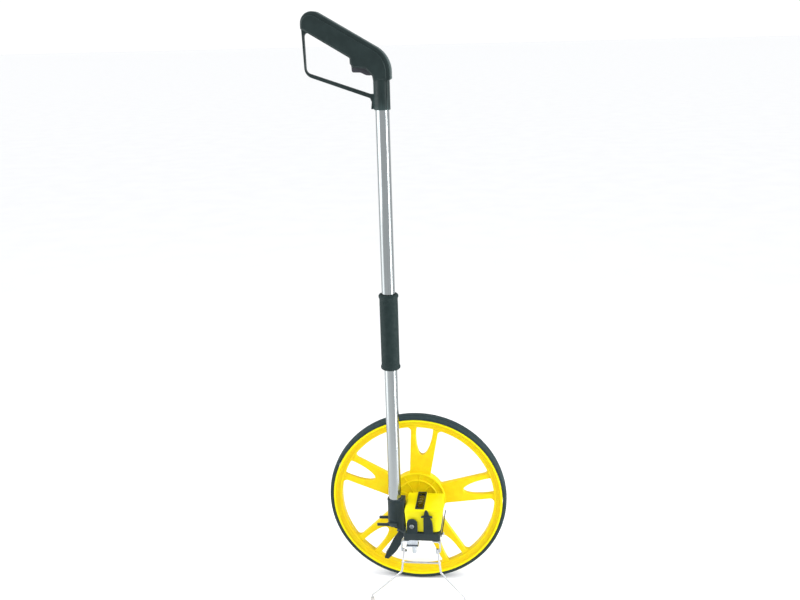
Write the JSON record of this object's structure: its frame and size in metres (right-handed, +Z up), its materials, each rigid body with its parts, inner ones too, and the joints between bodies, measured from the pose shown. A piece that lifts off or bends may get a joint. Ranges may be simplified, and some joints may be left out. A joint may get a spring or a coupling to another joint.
{
  "type": "measuring wheel",
  "caption": "Walking measuring wheel: a one-metre spoked wheel drives a digit counter on a folding pole with a pistol grip, brake trigger and wire stand.",
  "frame": {"origin": "on the ground, under the middle of the object's box; the wheel's contact with the ground is under the hub at x = 0", "axes": "+X along the ground, the way the wheel rolls when pushed; +Z up along the pole; -Y towards the counter, which is the user's left side"},
  "size_m": [0.3184, 0.1146, 0.9975],
  "materials": {
    "yellow_plastic": "satin, moulded",
    "black_plastic": "fine grain, moulded",
    "black_metal": "die cast, satin black paint",
    "trigger_grey": "fine grain, moulded",
    "sleeve_rubber": "soft moulded rubber, matt",
    "rubber_black": "matt",
    "tyre_rubber": "ribbed, matt",
    "drum_black": "matt",
    "nylon_grey": "moulded nylon",
    "clear_plastic": "clear window",
    "aluminium": "drawn tube",
    "steel": "plated",
    "zinc": "zinc plated",
    "brass": "turned"
  },
  "bodies": {
    "base": {"base_bracket": "black_metal", "bearing_front": "brass", "bearing_back": "brass", "counter_housing": "yellow_plastic", "window_lens": "clear_plastic", "window_frame": "black_plastic", "housing_screw": "steel", "counter_frame": "steel", "pole_socket": "black_plastic", "socket_screw": "steel", "bracket_screw_1": "steel", "bracket_screw_2": "steel", "pole_tube_lower": "aluminium", "hinge_plug_lower": "nylon_grey", "hinge_pin_lower": "steel", "brake_clevis": "black_plastic", "brake_pin": "steel", "stand_clip_left": "zinc", "stand_clip_right": "zinc", "clamp_plate": "zinc", "clamp_spacer": "zinc", "clamp_bolt": "zinc", "clamp_nut": "zinc", "reset_pin": "steel"},
    "wheel": {"wheel": "yellow_plastic", "tyre": "tyre_rubber", "axle": "steel", "axle_washer_front": "steel", "axle_washer_back": "steel", "axle_nut": "steel", "drive_gear": "brass", "axle_collar": "steel"},
    "units_drum": {"digit_drum_1": "drum_black", "counter_shaft": "steel", "counter_gear": "brass"},
    "tens_drum": {"digit_drum_2": "drum_black"},
    "hundreds_drum": {"digit_drum_3": "drum_black"},
    "thousands_drum": {"digit_drum_4": "drum_black"},
    "ten_thousands_drum": {"digit_drum_5": "drum_black"},
    "link": {"fold_link": "steel"},
    "upper_pole": {"pole_tube_upper": "aluminium", "hinge_plug_upper": "nylon_grey", "hinge_pin_upper": "steel", "handle_left": "black_plastic", "handle_right": "black_plastic", "handle_screw_1": "steel", "handle_screw_2": "steel", "handle_screw_3": "steel", "trigger_pin": "steel", "trigger_spring": "steel"},
    "sleeve": {"locking_sleeve": "sleeve_rubber"},
    "trigger": {"brake_trigger": "trigger_grey"},
    "brake": {"brake_arm": "black_plastic", "brake_pad": "rubber_black"},
    "stand": {"stand_wire": "steel", "stand_foot_left": "nylon_grey", "stand_foot_right": "nylon_grey"},
    "reset": {"reset_lever": "black_plastic"}
  },
  "joints": [
    {"name": "wheel_spin", "type": "hinge", "parent": "base", "child": "wheel", "pos_m": [0, 0.0375, 0.15915], "axis": [0, 1, 0], "continuous": true},
    {"name": "units_turn", "type": "hinge", "parent": "base", "child": "units_drum", "pos_m": [0.0103, -0.0379, 0.16531], "axis": [0, 1, 0], "continuous": true},
    {"name": "tens_turn", "type": "hinge", "parent": "base", "child": "tens_drum", "pos_m": [0.0103, -0.0291, 0.16531], "axis": [0, 1, 0], "continuous": true},
    {"name": "hundreds_turn", "type": "hinge", "parent": "base", "child": "hundreds_drum", "pos_m": [0.0103, -0.0203, 0.16531], "axis": [0, 1, 0], "continuous": true},
    {"name": "thousands_turn", "type": "hinge", "parent": "base", "child": "thousands_drum", "pos_m": [0.0103, -0.0115, 0.16531], "axis": [0, 1, 0], "continuous": true},
    {"name": "ten_thousands_turn", "type": "hinge", "parent": "base", "child": "ten_thousands_drum", "pos_m": [0.0103, -0.0027, 0.16531], "axis": [0, 1, 0], "continuous": true},
    {"name": "link_fold", "type": "hinge", "parent": "base", "child": "link", "pos_m": [-0.0342, -0.0175, 0.473], "axis": [0, -1, 0], "range_deg": [0, 90], "deforming": ["locking_sleeve"]},
    {"name": "pole_fold", "type": "hinge", "parent": "link", "child": "upper_pole", "pos_m": [-0.0342, -0.0175, 0.503], "axis": [0, -1, 0], "range_deg": [0, 90]},
    {"name": "sleeve_slide", "type": "slide", "parent": "upper_pole", "child": "sleeve", "axis": [0, 0, 1], "range_m": [0, 0.09]},
    {"name": "trigger_pull", "type": "hinge", "parent": "upper_pole", "child": "trigger", "pos_m": [-0.052, -0.0175, 0.91], "axis": [0, 1, 0], "range_deg": [0, 14], "stiffness_Nm_per_rad": 0.15, "springref_deg": -11.46, "deforming": ["trigger_spring"]},
    {"name": "brake_swing", "type": "hinge", "parent": "base", "child": "brake", "pos_m": [-0.024, 0.0035, 0.10915], "axis": [0.8712, 0, -0.491], "range_deg": [0, 15]},
    {"name": "stand_fold", "type": "hinge", "parent": "base", "child": "stand", "pos_m": [0.0125, -0.0485, 0.103], "axis": [1, 0, 0], "range_deg": [-110, 0]},
    {"name": "reset_press", "type": "hinge", "parent": "base", "child": "reset", "pos_m": [0.0482, -0.0345, 0.12615], "axis": [1, 0, 0], "range_deg": [0, 20], "stiffness_Nm_per_rad": 0.1, "springref_deg": -11.46}
  ],
  "couplings": [
    {"joint": "units_turn", "follows": "wheel_spin", "ratio": -1},
    {"joint": "tens_turn", "follows": "wheel_spin", "ratio": -0.1},
    {"joint": "hundreds_turn", "follows": "wheel_spin", "ratio": -0.01},
    {"joint": "thousands_turn", "follows": "wheel_spin", "ratio": -0.001},
    {"joint": "ten_thousands_turn", "follows": "wheel_spin", "ratio": -0.0001},
    {"joint": "pole_fold", "follows": "link_fold", "ratio": 1},
    {"joint": "sleeve_slide", "follows": "link_fold", "m_per_rad": 0.0572},
    {"joint": "brake_swing", "follows": "trigger_pull", "ratio": 1.0643}
  ]
}
